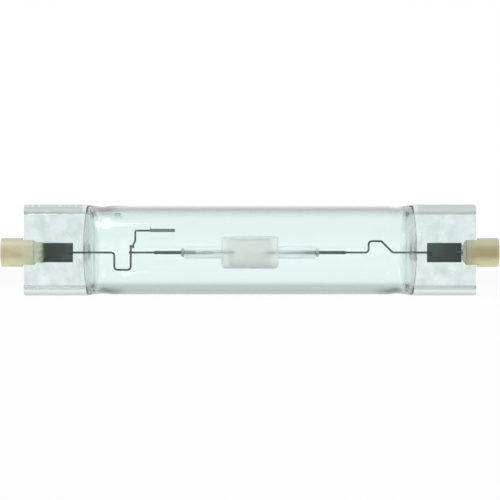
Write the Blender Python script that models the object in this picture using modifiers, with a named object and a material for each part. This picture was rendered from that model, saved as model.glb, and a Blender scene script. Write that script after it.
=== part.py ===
"""Double-ended metal halide lamp with a ceramic arc tube. Metres, +Z up.

The lamp lies along X. Its flat pinch seals stand upright, in the XZ plane, and their two long edges
are the feet that it rests on. The origin is the light centre, on the outer bulb's centre line.
"""

import math

import bmesh
import bpy
from mathutils import Vector

# Gap between two pieces that touch, fit or are welded together
CLEARANCE = 0.0001

# Lamp, between the contact faces of its two end caps
CONTACT_SPAN = 0.1142
# The seals, the wires and the arc tube share one line, a little below the centre of the outer bulb
SEAL_DROP = 0.0006

# Outer bulb of quartz: a tube, a shoulder and a flat pinch seal at each end
BULB_DIAMETER = 0.0210
BULB_WALL = 0.0012
SHOULDER_LENGTH = 0.0062
SHOULDER_FULLNESS = 2.6
SHOULDER_BOW = 0.3
PINCH_LENGTH = 0.0139
PINCH_OVERHANG = 0.00025
PINCH_THICKNESS = 0.0026
BEAD_THICKNESS = 0.0044
BEAD_WIDTH = 0.0023
BEAD_CORNER = 0.0007
PINCH_END_ROUNDING = 0.0004
CAVITY_SETBACK = 0.0008
CAVITY_END_THICKNESS = 0.0005
TIP_DIAMETER = 0.0034
TIP_HEIGHT = 0.0010
TIP_SETBACK = 0.0017
TIP_ANGLE = math.radians(65)

# Seal foil of molybdenum, inside the pinch
FOIL_SETBACK = 0.0024
FOIL_LENGTH = 0.0082
FOIL_WIDTH = 0.0046
FOIL_THICKNESS = 0.0001
FOIL_EDGE_WIDTH = 0.0008
FOIL_OVERLAP = 0.0012

# Wires of molybdenum. Lengths along X are shares of the run from a pinch to the arc tube's end
WIRE_DIAMETER = 0.0005
WIRE_BEND = 0.0008
LOOP_START_SHARE = 0.305
LOOP_WIDTH_SHARE = 0.165
LOOP_DEPTH = 0.0041
RISER_HEIGHT = 0.0018
HUMP_START_SHARE = 0.24
HUMP_SLOPE_SHARE = 0.11
HUMP_TOP_SHARE = 0.125
HUMP_HEIGHT = 0.0027
WELD_LENGTH = 0.0015

# Getter: an open metal tray filled with alloy, with a tab at one end, on its own thin wire
GETTER_WIRE_DIAMETER = 0.00045
GETTER_RISE = 0.0052
GETTER_ARM = 0.0036
TRAY_LENGTH = 0.0058
TRAY_WIDTH = 0.0022
TRAY_HEIGHT = 0.0007
TRAY_WALL = 0.00012
TAB_HEIGHT = 0.0013

# Arc tube of translucent alumina: a body, two end plugs and two capillaries
ARC_BODY_DIAMETER = 0.0076
ARC_BODY_LENGTH = 0.0134
ARC_BODY_WALL = 0.0008
ARC_BODY_ROUNDING = 0.0006
PLUG_THICKNESS = 0.0013
PLUG_RECESS = 0.0004
CAPILLARY_DIAMETER = 0.0028
CAPILLARY_BORE = 0.0012
CAPILLARY_REACH = 0.0088
CAPILLARY_CHAMFER = 0.0002
FRIT_DIAMETER = 0.0021
FRIT_LENGTH = 0.0008

# Feedthrough in each capillary: niobium outside, molybdenum inside, then the tungsten electrode
NIOBIUM_DIAMETER = 0.0008
NIOBIUM_SHARE = 0.3
NIOBIUM_DEPTH = 0.0026
MOLYBDENUM_DIAMETER = 0.0007
MOLYBDENUM_LENGTH = 0.0042
ELECTRODE_REACH = 0.0032
ELECTRODE_DIAMETER = 0.0003
COIL_WIRE_DIAMETER = 0.00016
COIL_TURNS = 5
COIL_SETBACK = 0.0004

# End cap of ceramic: a plain barrel, forked over the pinch and recessed for its contact
CAP_DIAMETER = 0.0068
CAP_OVERLAP = 0.0024
CAP_CHAMFER = 0.0003
CEMENT_THICKNESS = 0.0002
CEMENT_SKIRT = 0.0009
CEMENT_SKIRT_HEIGHT = 0.0006
CAP_FLOOR = 0.0007
CONTACT_RECESS = 0.0017
RECESS_DIAMETER = 0.0039
CONTACT_HEAD_THICKNESS = 0.0005
CONTACT_CHAMFER = 0.0002
SHANK_DIAMETER = 0.0017
SHANK_LENGTH = 0.0020

# Fineness of round shapes
BULB_POINTS = 48
SHOULDER_STEPS = 12
CAP_STEPS = 40
SMALL_STEPS = 20
BEND_STEPS = 4
COIL_STEPS = 12
SMOOTH_ANGLE = math.radians(40)
MERGE_DISTANCE = 0.000001
CUTTER_REACH = 0.002

# Places along X, measured from the light centre outwards
CONTACT_FACE = CONTACT_SPAN / 2
CAP_RIM = CONTACT_FACE + CONTACT_RECESS
CONTACT_SEAT = CONTACT_FACE - CONTACT_HEAD_THICKNESS - CLEARANCE
SHANK_END = CONTACT_SEAT - SHANK_LENGTH
FORK_FLOOR = SHANK_END - CAP_FLOOR
PINCH_END = FORK_FLOOR - CEMENT_THICKNESS - 2 * CLEARANCE
PINCH_START = PINCH_END - PINCH_LENGTH
TUBE_END = PINCH_START - SHOULDER_LENGTH
CAVITY_END = PINCH_START - CAVITY_SETBACK
TIP_X = TIP_SETBACK - TUBE_END
CAP_START = PINCH_END - CAP_OVERLAP
FOIL_START = PINCH_START + FOIL_SETBACK
FOIL_END = FOIL_START + FOIL_LENGTH
CAPILLARY_END = ARC_BODY_LENGTH / 2 + CAPILLARY_REACH
LEAD_RUN = PINCH_START - CAPILLARY_END
NIOBIUM_END = CAPILLARY_END + NIOBIUM_SHARE * LEAD_RUN
NIOBIUM_START = CAPILLARY_END - NIOBIUM_DEPTH
MOLYBDENUM_START = NIOBIUM_START - CLEARANCE - MOLYBDENUM_LENGTH
ELECTRODE_END = MOLYBDENUM_START - CLEARANCE
ELECTRODE_TIP = ARC_BODY_LENGTH / 2 - ELECTRODE_REACH

# Sizes that follow from others
BULB_RADIUS = BULB_DIAMETER / 2
PINCH_HALF_WIDTH = BULB_RADIUS + PINCH_OVERHANG
FOIL_Y = WIRE_DIAMETER / 2 + CLEARANCE + FOIL_THICKNESS / 2
LEAD_BORE_RADIUS = WIRE_DIAMETER / 2 + CLEARANCE
SLOT_HALF = PINCH_THICKNESS / 2 + CEMENT_THICKNESS + 2 * CLEARANCE
LINK_Y = NIOBIUM_DIAMETER / 2 + CLEARANCE + WIRE_DIAMETER / 2
RISER_Y = LINK_Y - WIRE_DIAMETER - CLEARANCE


def clear_scene():
    for obj in list(bpy.data.objects):
        bpy.data.objects.remove(obj)


def new_collection(name):
    collection = bpy.data.collections.new(name)
    bpy.context.scene.collection.children.link(collection)
    return collection


def finish(colour, roughness, metallic=0.0, transmission=0.0):
    """The look of a piece, by the names of the shader's inputs."""
    return {
        "Base Color": (*colour, 1.0),
        "Roughness": roughness,
        "Metallic": metallic,
        "Transmission Weight": transmission,
    }


clear_scene()
LAMP = new_collection("metal_halide_lamp")
CUTTERS = new_collection("cutters")

QUARTZ = finish((0.86, 0.95, 0.94), 0.03, transmission=1.0)
ALUMINA = finish((0.90, 0.88, 0.86), 0.45, transmission=0.4)
CERAMIC = finish((0.62, 0.54, 0.33), 0.35)
CEMENT = finish((0.72, 0.70, 0.62), 0.9)
NICKEL = finish((0.66, 0.64, 0.60), 0.25, metallic=1.0)
MOLYBDENUM = finish((0.26, 0.27, 0.27), 0.35, metallic=1.0)
FOIL = finish((0.09, 0.10, 0.10), 0.4, metallic=0.9)
NIOBIUM = finish((0.30, 0.30, 0.31), 0.4, metallic=1.0)
TUNGSTEN = finish((0.24, 0.24, 0.25), 0.45, metallic=1.0)
FRIT = finish((0.55, 0.50, 0.42), 0.3)
STEEL = finish((0.38, 0.38, 0.37), 0.35, metallic=1.0)
ALLOY = finish((0.12, 0.12, 0.12), 0.8, metallic=0.4)


def new_object(name, data, look, parent=None):
    """Adds a piece of the lamp, with a material of its own."""
    material = bpy.data.materials.new(name)
    material.use_nodes = True
    shader = material.node_tree.nodes["Principled BSDF"]
    for socket, value in look.items():
        shader.inputs[socket].default_value = value
    data.materials.append(material)
    obj = bpy.data.objects.new(name, data)
    obj.parent = parent
    LAMP.objects.link(obj)
    return obj


def as_cutter(obj, parent=None):
    """Turns an object into a helper that is cut or joined, and isn't a piece."""
    for collection in list(obj.users_collection):
        collection.objects.unlink(obj)
    CUTTERS.objects.link(obj)
    obj.parent = parent
    obj.hide_render = True
    obj.display_type = "WIRE"
    return obj


def mesh_from(bm, name):
    mesh = bpy.data.meshes.new(name)
    bm.to_mesh(mesh)
    bm.free()
    return mesh


def smooth(mesh):
    mesh.shade_smooth()
    mesh.set_sharp_from_angle(angle=SMOOTH_ANGLE)
    return mesh


def box_mesh(name, low, high):
    """A box between two corners."""
    bm = bmesh.new()
    bmesh.ops.create_cube(bm, size=1.0)
    low, high = Vector(low), Vector(high)
    bmesh.ops.scale(bm, vec=high - low, verts=bm.verts)
    bmesh.ops.translate(bm, vec=(low + high) / 2, verts=bm.verts)
    return mesh_from(bm, name)


def rod_mesh(name, diameter, start, end):
    """A round rod along Z."""
    bm = bmesh.new()
    bmesh.ops.create_cone(
        bm,
        cap_ends=True,
        segments=SMALL_STEPS,
        radius1=diameter / 2,
        radius2=diameter / 2,
        depth=end - start,
    )
    bmesh.ops.translate(bm, vec=(0, 0, (start + end) / 2), verts=bm.verts)
    return smooth(mesh_from(bm, name))


def boolean(target, other, operation="DIFFERENCE"):
    """Cuts a piece with another shape, or joins it on."""
    modifier = target.modifiers.new(other.name, "BOOLEAN")
    modifier.operation = operation
    modifier.object = other


def turned(name, profile, look, steps, parent=None, closed=True):
    """A piece turned about Z. The profile holds (radius, z) and runs down its outer side."""
    mesh = bpy.data.meshes.new(name)
    points = [(radius, 0.0, z) for radius, z in profile]
    edges = [(i, i + 1) for i in range(len(points) - 1)]
    if closed:
        edges.append((len(points) - 1, 0))
    mesh.from_pydata(points, edges, [])
    obj = new_object(name, mesh, look, parent)
    screw = obj.modifiers.new("turn", "SCREW")
    screw.axis = "Z"
    screw.steps = screw.render_steps = steps
    screw.use_merge_vertices = True
    screw.merge_threshold = MERGE_DISTANCE
    screw.use_smooth_shade = False
    return obj


def extruded(name, outline, half_depth, look, parent=None):
    """A flat outline in the XY plane, as thick as twice half_depth along Z."""
    curve = bpy.data.curves.new(name, "CURVE")
    curve.dimensions = "2D"
    curve.fill_mode = "BOTH"
    curve.extrude = half_depth
    spline = curve.splines.new("POLY")
    spline.points.add(len(outline) - 1)
    for point, (x, y) in zip(spline.points, outline):
        point.co = (x, y, 0.0, 1.0)
    spline.use_cyclic_u = True
    return new_object(name, curve, look, parent)


def made_mesh(obj):
    """The same piece as a plain mesh, so that it can be cut."""
    bpy.context.view_layer.update()
    graph = bpy.context.evaluated_depsgraph_get()
    mesh = bpy.data.meshes.new_from_object(obj.evaluated_get(graph))
    bm = bmesh.new()
    bm.from_mesh(mesh)
    bmesh.ops.remove_doubles(bm, verts=bm.verts, dist=MERGE_DISTANCE)
    bm.to_mesh(mesh)
    bm.free()
    name, matrix, parent = obj.name, obj.matrix_world.copy(), obj.parent
    bpy.data.objects.remove(obj)
    made = bpy.data.objects.new(name, mesh)
    LAMP.objects.link(made)
    made.parent = parent
    made.matrix_world = matrix
    return made


def bent_path(corners, bend):
    """The corners of a wire, each rounded to the bend radius where its sides leave room."""
    corners = [Vector(c) for c in corners]
    path = [corners[0]]
    for before, corner, after in zip(corners, corners[1:], corners[2:]):
        into, out_of = (before - corner), (after - corner)
        turn = math.pi - into.angle(out_of)
        reach = bend * math.tan(turn / 2)
        reach = min(reach, 0.45 * into.length, 0.45 * out_of.length)
        radius = reach / math.tan(turn / 2)
        into.normalize()
        out_of.normalize()
        middle = (into + out_of).normalized()
        centre = corner + middle * math.hypot(reach, radius)
        first = corner + into * reach - centre
        last = corner + out_of * reach - centre
        for i in range(BEND_STEPS + 1):
            path.append(centre + first.length * first.slerp(last, i / BEND_STEPS))
    path.append(corners[-1])
    return path


def wire(name, path, diameter, look, parent=None):
    """A round wire along a path, with flat ends."""
    curve = bpy.data.curves.new(name, "CURVE")
    curve.dimensions = "3D"
    curve.bevel_depth = diameter / 2
    curve.bevel_resolution = 2
    curve.use_fill_caps = True
    spline = curve.splines.new("POLY")
    spline.points.add(len(path) - 1)
    for point, place in zip(spline.points, path):
        point.co = (*place, 1.0)
    return new_object(name, curve, look, parent)


def smoothstep(share):
    share = min(max(share, 0.0), 1.0)
    return share * share * (3 - 2 * share)


def bulb_section(radius, half_width, half_thickness, share):
    """A closed (y, z) section at a share of the shoulder: a circle at 0, and a pinch at 1.

    half_thickness is a function of z. Each point keeps its share of the width, so the long lines
    of the surface run straight from the tube into the pinch. The shoulder is a dome that ends in a
    tight fillet, and it ends sooner at the edges than in the middle, so the fillet is bowed.
    """
    step = 2 * math.pi / BULB_POINTS
    edge_share = math.cos(step)
    section = []
    for i in range(BULB_POINTS):
        cosine, sine = math.cos(i * step), math.sin(i * step)
        across = min(abs(sine) / edge_share, 1.0) * half_width
        thick = 0.0 if abs(cosine) < 1e-6 else half_thickness(across)
        flat = Vector((math.copysign(thick, cosine), math.copysign(across, sine)))
        round_ = Vector((radius * cosine, radius * sine))
        own_share = min(share * (1 + SHOULDER_BOW * sine**2), 1.0)
        section.append(round_.lerp(flat, smoothstep(own_share**SHOULDER_FULLNESS)))
    return section


def pinch_half_thickness(across):
    """Half the pinch's thickness at a distance from its middle: a flat web, and a bead on its edge."""
    from_edge = PINCH_HALF_WIDTH - across
    bead = smoothstep((BEAD_WIDTH - from_edge) / (0.4 * BEAD_WIDTH))
    thick = PINCH_THICKNESS + (BEAD_THICKNESS - PINCH_THICKNESS) * bead
    inset = max(BEAD_CORNER - from_edge, 0.0)
    return thick / 2 - (BEAD_CORNER - math.sqrt(BEAD_CORNER**2 - inset**2))


def shoulder_shares():
    """Shares of the shoulder's length, closest together where it is steepest."""
    return [(i / SHOULDER_STEPS) ** (1 / SHOULDER_FULLNESS) for i in range(SHOULDER_STEPS + 1)]


def loft(name, rings):
    """A closed mesh through rings of (y, z) points, each ring at its own x."""
    bm = bmesh.new()
    rows = [[bm.verts.new((x, y, z)) for y, z in ring] for x, ring in rings]
    count = len(rows[0])
    for row, following in zip(rows, rows[1:]):
        for i in range(count):
            j = (i + 1) % count
            bm.faces.new((row[i], row[j], following[j], following[i]))
    bm.faces.new(rows[0])
    bm.faces.new(rows[-1])
    bmesh.ops.recalc_face_normals(bm, faces=bm.faces)
    return mesh_from(bm, name)


def both_ways(half):
    """A list of (x, ring) from the middle outwards, and its mirror image before it."""
    return [(-x, ring) for x, ring in reversed(half)] + half


def outer_bulb_rings():
    shape = (BULB_RADIUS, PINCH_HALF_WIDTH, pinch_half_thickness)
    half = [(TUBE_END + share * SHOULDER_LENGTH, bulb_section(*shape, share)) for share in shoulder_shares()]
    full = bulb_section(*shape, 1.0)
    half.append((PINCH_END - PINCH_END_ROUNDING, full))
    keep_y = 1 - PINCH_END_ROUNDING / PINCH_THICKNESS
    keep_z = 1 - PINCH_END_ROUNDING / PINCH_HALF_WIDTH
    half.append((PINCH_END, [Vector((y * keep_y, z * keep_z)) for y, z in full]))
    return both_ways(half)


def cavity_rings():
    half_width = PINCH_HALF_WIDTH - BEAD_WIDTH - BULB_WALL / 4
    shape = (BULB_RADIUS - BULB_WALL, half_width, lambda across: CAVITY_END_THICKNESS / 2)
    length = CAVITY_END - TUBE_END
    half = [(TUBE_END + share * length, bulb_section(*shape, share)) for share in shoulder_shares()]
    return both_ways(half)


def new_end(name, side):
    """An empty at one end of the lamp. Its Z runs outwards along the seals, from the light centre."""
    end = bpy.data.objects.new(name, None)
    LAMP.objects.link(end)
    end.location = (0.0, 0.0, -SEAL_DROP)
    end.rotation_euler = (0.0, side * math.pi / 2, 0.0)
    return end


def seal_cutters(end, side_name):
    """The channel through one pinch: a foil pocket, and one straight bore for both leads."""
    cutter_end = FOIL_START + FOIL_OVERLAP + CLEARANCE
    inner = rod_mesh("inner_bore", 2 * LEAD_BORE_RADIUS, CAVITY_END - CUTTER_REACH, cutter_end)
    outer_start = FOIL_END - FOIL_OVERLAP - CLEARANCE
    outer = rod_mesh("outer_bore", 2 * LEAD_BORE_RADIUS, outer_start, PINCH_END + CUTTER_REACH)
    half_pocket = FOIL_THICKNESS / 2 + CLEARANCE
    pocket = box_mesh(
        "foil_pocket",
        (-FOIL_WIDTH / 2 - CLEARANCE, FOIL_Y - half_pocket, FOIL_START - CLEARANCE),
        (FOIL_WIDTH / 2 + CLEARANCE, FOIL_Y + half_pocket, FOIL_END + CLEARANCE),
    )
    cutters = []
    for mesh in (inner, outer, pocket):
        obj = bpy.data.objects.new(f"{mesh.name}_{side_name}", mesh)
        cutters.append(as_cutter(obj, end))
    return cutters


def make_outer_bulb(ends):
    """The quartz tube with its pinches, its sealed-off exhaust tip and the channels for the leads."""
    bulb = new_object("outer_bulb", smooth(loft("outer_bulb", outer_bulb_rings())), QUARTZ)
    radius = TIP_DIAMETER / 2
    top = BULB_RADIUS + TIP_HEIGHT
    root = BULB_RADIUS - BULB_WALL / 2
    dome = [(radius * math.sin(a), top - TIP_HEIGHT * (1 - math.cos(a)))
            for a in (math.radians(18 * i) for i in range(5))]
    tip = turned("exhaust_tip", [*dome, (radius, root), (0.0, root)], QUARTZ, SMALL_STEPS)
    tip.location = (TIP_X, 0.0, 0.0)
    tip.rotation_euler = (TIP_ANGLE - math.pi / 2, 0.0, 0.0)
    boolean(bulb, as_cutter(tip), "UNION")
    cavity = bpy.data.objects.new("cavity", loft("cavity", cavity_rings()))
    boolean(bulb, as_cutter(cavity))
    for side_name, end in ends.items():
        for cutter in seal_cutters(end, side_name):
            boolean(bulb, cutter)


def make_seal(end, side_name):
    """The foil in one pinch, feathered to thin edges, and the rod from it to the cap's contact."""
    middle = FOIL_WIDTH / 2 - FOIL_EDGE_WIDTH
    edge, thick = FOIL_WIDTH / 2, FOIL_THICKNESS / 2
    outline = [(middle, thick), (-middle, thick), (-edge, 0), (-middle, -thick), (middle, -thick), (edge, 0)]
    foil = extruded(f"seal_foil_{side_name}", outline, FOIL_LENGTH / 2, FOIL, end)
    foil.location = (0.0, FOIL_Y, (FOIL_START + FOIL_END) / 2)
    name = f"outer_lead_{side_name}"
    lead_end = CONTACT_SEAT - CLEARANCE
    mesh = rod_mesh(name, WIRE_DIAMETER, FOIL_END - FOIL_OVERLAP, lead_end)
    new_object(name, mesh, MOLYBDENUM, end)


def make_cap(end, side_name):
    """The ceramic barrel: a contact recess at its rim, and a fork that grips the pinch."""
    radius, recess, bore = CAP_DIAMETER / 2, RECESS_DIAMETER / 2, SHANK_DIAMETER / 2 + CLEARANCE
    profile = [
        (recess, CONTACT_SEAT),
        (recess, CAP_RIM - CAP_CHAMFER / 2),
        (recess + CAP_CHAMFER / 2, CAP_RIM),
        (radius - CAP_CHAMFER, CAP_RIM),
        (radius, CAP_RIM - CAP_CHAMFER),
        (radius, CAP_START + CAP_CHAMFER),
        (radius - CAP_CHAMFER, CAP_START),
        (bore, CAP_START),
        (bore, CONTACT_SEAT),
    ]
    cap = turned(f"cap_{side_name}", profile, CERAMIC, CAP_STEPS, end)
    low = (-CAP_DIAMETER, -SLOT_HALF, CAP_START - CUTTER_REACH)
    high = (CAP_DIAMETER, SLOT_HALF, FORK_FLOOR)
    slot = bpy.data.objects.new(f"fork_slot_{side_name}", box_mesh("fork_slot", low, high))
    boolean(cap, as_cutter(slot, end))


def make_contact(end, side_name):
    """The nickel-plated button in the recess, with a hollow shank that the outer lead is welded in."""
    head = RECESS_DIAMETER / 2 - CLEARANCE
    seat = CONTACT_SEAT + CLEARANCE
    profile = [
        (0.0, CONTACT_FACE),
        (head - CONTACT_CHAMFER, CONTACT_FACE),
        (head, CONTACT_FACE - CONTACT_CHAMFER),
        (head, seat),
        (SHANK_DIAMETER / 2, seat),
        (SHANK_DIAMETER / 2, SHANK_END),
        (LEAD_BORE_RADIUS, SHANK_END),
        (LEAD_BORE_RADIUS, CONTACT_SEAT),
        (0.0, CONTACT_SEAT),
    ]
    turned(f"cap_contact_{side_name}", profile, NICKEL, SMALL_STEPS, end, closed=False)


def make_cement(end, side_name):
    """The cement between the fork and the pinch: a U round the end of the glass.

    The push of the cap squeezes it out as a sloping skirt in front of the fork's tips.
    """
    inner = PINCH_THICKNESS / 2 + CLEARANCE
    outer, lip = inner + CEMENT_THICKNESS, inner + CEMENT_SKIRT_HEIGHT
    edge, mouth, crook = CAP_START - CEMENT_SKIRT, CAP_START - CLEARANCE, PINCH_END + CLEARANCE
    floor = crook + CEMENT_THICKNESS
    upper = [(edge, inner), (mouth, lip), (mouth, outer), (floor, outer)]
    lower = [(z, -y) for z, y in reversed(upper)]
    outline = [(crook, -inner), (crook, inner), *upper, *lower]
    chord = math.sqrt((CAP_DIAMETER / 2) ** 2 - SLOT_HALF**2)
    cement = extruded(f"cap_cement_{side_name}", outline, chord - CEMENT_THICKNESS, CEMENT, end)
    cement.rotation_euler = (0.0, -math.pi / 2, 0.0)
    cement = made_mesh(cement)
    hole = rod_mesh("lead_hole", 2 * LEAD_BORE_RADIUS, crook - CUTTER_REACH, floor + CUTTER_REACH)
    hole = as_cutter(bpy.data.objects.new(f"lead_hole_{side_name}", hole), end)
    boolean(cement, hole)


def make_left_wires():
    """The stiff left lead with its loop and riser, and the link from the riser to the arc tube."""
    line = -SEAL_DROP
    loop_x = LOOP_START_SHARE * LEAD_RUN - PINCH_START
    riser_x = loop_x + LOOP_WIDTH_SHARE * LEAD_RUN
    foil_x = -(FOIL_START + FOIL_OVERLAP)
    corners = [
        (foil_x, 0.0, line),
        (-CAVITY_END, 0.0, line),
        (loop_x, RISER_Y, line),
        (loop_x, RISER_Y, line - LOOP_DEPTH),
        (riser_x, RISER_Y, line - LOOP_DEPTH),
        (riser_x, RISER_Y, line + RISER_HEIGHT),
    ]
    wire("lead_wire_left", bent_path(corners, WIRE_BEND), WIRE_DIAMETER, MOLYBDENUM)
    link = [(riser_x - WIRE_DIAMETER, LINK_Y, line), (WELD_LENGTH - NIOBIUM_END, LINK_Y, line)]
    wire("link_wire_left", [Vector(p) for p in link], WIRE_DIAMETER, MOLYBDENUM)
    make_getter(riser_x, line)


def make_getter(riser_x, line):
    """The getter's wire, welded to the riser, and its tray and alloy, welded to the wire's side."""
    foot_x = riser_x + WIRE_DIAMETER / 2 + GETTER_WIRE_DIAMETER / 2 + CLEARANCE
    stem_x = foot_x + WIRE_DIAMETER
    tray_x = stem_x + GETTER_ARM
    arm_z = line + GETTER_RISE
    weld_z = line + RISER_HEIGHT
    corners = [
        (foot_x, RISER_Y, weld_z - WELD_LENGTH / 2),
        (foot_x, RISER_Y, weld_z),
        (stem_x, RISER_Y, weld_z + 2 * WIRE_DIAMETER),
        (stem_x, RISER_Y, arm_z),
        (tray_x + WELD_LENGTH, RISER_Y, arm_z),
    ]
    path = bent_path(corners, WIRE_BEND / 2)
    wire("getter_wire", path, GETTER_WIRE_DIAMETER, MOLYBDENUM)
    side, wall = TRAY_WIDTH / 2, TRAY_WALL
    tray_y = RISER_Y - GETTER_WIRE_DIAMETER / 2 - CLEARANCE - side
    tray_z = arm_z - TRAY_HEIGHT / 2
    outline = [(0, 0), (TRAY_LENGTH, 0), (TRAY_LENGTH, TRAY_HEIGHT), (wall, TRAY_HEIGHT),
               (wall, TAB_HEIGHT), (0, TAB_HEIGHT)]
    tray = extruded("getter_tray", outline, side, STEEL)
    tray.location = (tray_x, tray_y, tray_z)
    tray.rotation_euler = (math.pi / 2, 0.0, 0.0)
    tray = made_mesh(tray)
    low = Vector((tray_x + wall, tray_y - side + wall, tray_z + wall))
    high = Vector((tray_x + TRAY_LENGTH - wall, tray_y + side - wall, tray_z + TRAY_HEIGHT))
    pocket = box_mesh("tray_pocket", low, high + Vector((0, 0, CUTTER_REACH)))
    boolean(tray, as_cutter(bpy.data.objects.new("tray_pocket", pocket)))
    gap = Vector((CLEARANCE, CLEARANCE, CLEARANCE))
    alloy = box_mesh("getter_alloy", low + gap, high - gap + Vector((0, 0, CLEARANCE)))
    new_object("getter_alloy", alloy, ALLOY)


def make_right_wire():
    """The right lead, with the hump that lets it flex, welded behind the niobium lead."""
    line = -SEAL_DROP
    hump_x = PINCH_START - HUMP_START_SHARE * LEAD_RUN
    top_x = hump_x - HUMP_SLOPE_SHARE * LEAD_RUN
    leg_x = top_x - HUMP_TOP_SHARE * LEAD_RUN
    top = line + HUMP_HEIGHT
    corners = [
        (FOIL_START + FOIL_OVERLAP, 0.0, line),
        (hump_x, 0.0, line),
        (top_x, LINK_Y / 3, top),
        (leg_x, LINK_Y, top),
        (leg_x, LINK_Y, line),
        (NIOBIUM_END - WELD_LENGTH, LINK_Y, line),
    ]
    wire("lead_wire_right", bent_path(corners, WIRE_BEND), WIRE_DIAMETER, MOLYBDENUM)


def make_arc_body():
    """The open alumina tube in the middle of the arc tube, its outer edges rounded."""
    outer, half = ARC_BODY_DIAMETER / 2, ARC_BODY_LENGTH / 2
    inner, rounding = outer - ARC_BODY_WALL, ARC_BODY_ROUNDING
    arc = [math.radians(a) for a in (0, 30, 60, 90)]
    top = [(outer - rounding * (1 - math.sin(a)), half - rounding * (1 - math.cos(a))) for a in arc]
    bottom = [(radius, -z) for radius, z in reversed(top)]
    body = turned("arc_body", [(inner, half), *top, *bottom, (inner, -half)], ALUMINA, CAP_STEPS)
    body.location = (0.0, 0.0, -SEAL_DROP)
    body.rotation_euler = (0.0, math.pi / 2, 0.0)


def make_arc_end(end, side_name):
    """One end of the arc tube: its plug, its capillary and the frit that seals it."""
    plug_radius = ARC_BODY_DIAMETER / 2 - ARC_BODY_WALL - CLEARANCE
    plug_bore = CAPILLARY_DIAMETER / 2 + CLEARANCE
    plug_end = ARC_BODY_LENGTH / 2 - PLUG_RECESS
    plug_start = plug_end - PLUG_THICKNESS
    profile = [
        (plug_bore, plug_end),
        (plug_radius, plug_end),
        (plug_radius, plug_start),
        (plug_bore, plug_start),
    ]
    turned(f"arc_plug_{side_name}", profile, ALUMINA, CAP_STEPS, end)
    radius, bore, chamfer = CAPILLARY_DIAMETER / 2, CAPILLARY_BORE / 2, CAPILLARY_CHAMFER
    profile = [
        (bore, CAPILLARY_END),
        (radius - chamfer, CAPILLARY_END),
        (radius, CAPILLARY_END - chamfer),
        (radius, plug_start),
        (bore, plug_start),
    ]
    turned(f"arc_capillary_{side_name}", profile, ALUMINA, SMALL_STEPS, end)
    bead, hole = FRIT_DIAMETER / 2, NIOBIUM_DIAMETER / 2 + CLEARANCE
    seat = CAPILLARY_END + CLEARANCE
    height = FRIT_LENGTH - CLEARANCE
    dome = [(hole + (bead - hole) * math.sin(a), seat + height * math.cos(a))
            for a in (math.radians(18 * i) for i in range(6))]
    turned(f"frit_seal_{side_name}", [*dome, (hole, seat)], FRIT, SMALL_STEPS, end)


def make_feedthrough(end, side_name):
    """The three rods that are butt-welded in line, and the coil on the electrode's tip."""
    rods = (
        (f"niobium_lead_{side_name}", NIOBIUM_DIAMETER, NIOBIUM_START, NIOBIUM_END, NIOBIUM),
        (f"molybdenum_rod_{side_name}", MOLYBDENUM_DIAMETER, MOLYBDENUM_START,
         NIOBIUM_START - CLEARANCE, MOLYBDENUM),
        (f"electrode_{side_name}", ELECTRODE_DIAMETER, ELECTRODE_TIP, ELECTRODE_END, TUNGSTEN),
    )
    for name, diameter, start, stop, look in rods:
        new_object(name, rod_mesh(name, diameter, start, stop), look, end)
    coil_radius = ELECTRODE_DIAMETER / 2 + CLEARANCE / 2 + COIL_WIRE_DIAMETER / 2
    pitch = COIL_WIRE_DIAMETER + CLEARANCE / 2
    path = []
    for i in range(COIL_TURNS * COIL_STEPS + 1):
        turn = i / COIL_STEPS
        angle = 2 * math.pi * turn
        z = ELECTRODE_TIP + COIL_SETBACK + turn * pitch
        path.append(Vector((coil_radius * math.cos(angle), coil_radius * math.sin(angle), z)))
    wire(f"electrode_coil_{side_name}", path, COIL_WIRE_DIAMETER, TUNGSTEN, end)


ENDS = {"left": new_end("left_end", -1), "right": new_end("right_end", 1)}
bpy.context.view_layer.update()
make_outer_bulb(ENDS)
make_arc_body()
for end_name, end_empty in ENDS.items():
    make_seal(end_empty, end_name)
    make_cap(end_empty, end_name)
    make_contact(end_empty, end_name)
    make_cement(end_empty, end_name)
    make_arc_end(end_empty, end_name)
    make_feedthrough(end_empty, end_name)
make_left_wires()
make_right_wire()
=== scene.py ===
"""The look of a double-ended metal halide lamp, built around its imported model. Metres, +Z up."""

import math

import bmesh
import bpy
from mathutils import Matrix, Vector, noise


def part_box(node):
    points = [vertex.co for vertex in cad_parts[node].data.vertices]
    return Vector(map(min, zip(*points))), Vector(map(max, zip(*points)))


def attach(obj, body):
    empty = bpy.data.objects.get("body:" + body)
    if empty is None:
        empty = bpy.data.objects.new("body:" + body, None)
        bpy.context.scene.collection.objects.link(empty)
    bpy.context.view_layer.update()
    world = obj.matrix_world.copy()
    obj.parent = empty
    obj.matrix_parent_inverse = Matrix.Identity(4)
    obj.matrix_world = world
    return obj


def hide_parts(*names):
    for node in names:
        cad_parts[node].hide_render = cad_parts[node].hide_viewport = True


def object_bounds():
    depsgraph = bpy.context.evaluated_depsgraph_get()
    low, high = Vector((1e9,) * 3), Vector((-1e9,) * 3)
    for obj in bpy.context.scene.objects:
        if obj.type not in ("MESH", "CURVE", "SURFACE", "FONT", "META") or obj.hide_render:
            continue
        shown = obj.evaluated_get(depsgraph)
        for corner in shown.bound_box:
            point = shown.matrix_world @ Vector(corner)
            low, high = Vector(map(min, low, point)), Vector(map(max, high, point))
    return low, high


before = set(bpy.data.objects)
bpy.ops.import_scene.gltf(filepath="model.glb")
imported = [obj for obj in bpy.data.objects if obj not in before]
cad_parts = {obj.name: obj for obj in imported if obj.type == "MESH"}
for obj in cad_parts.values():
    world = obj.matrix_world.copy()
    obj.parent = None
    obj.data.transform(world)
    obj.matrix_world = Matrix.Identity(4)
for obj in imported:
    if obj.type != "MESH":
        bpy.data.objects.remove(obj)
cad_box = [list(corner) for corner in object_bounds()]


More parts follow.
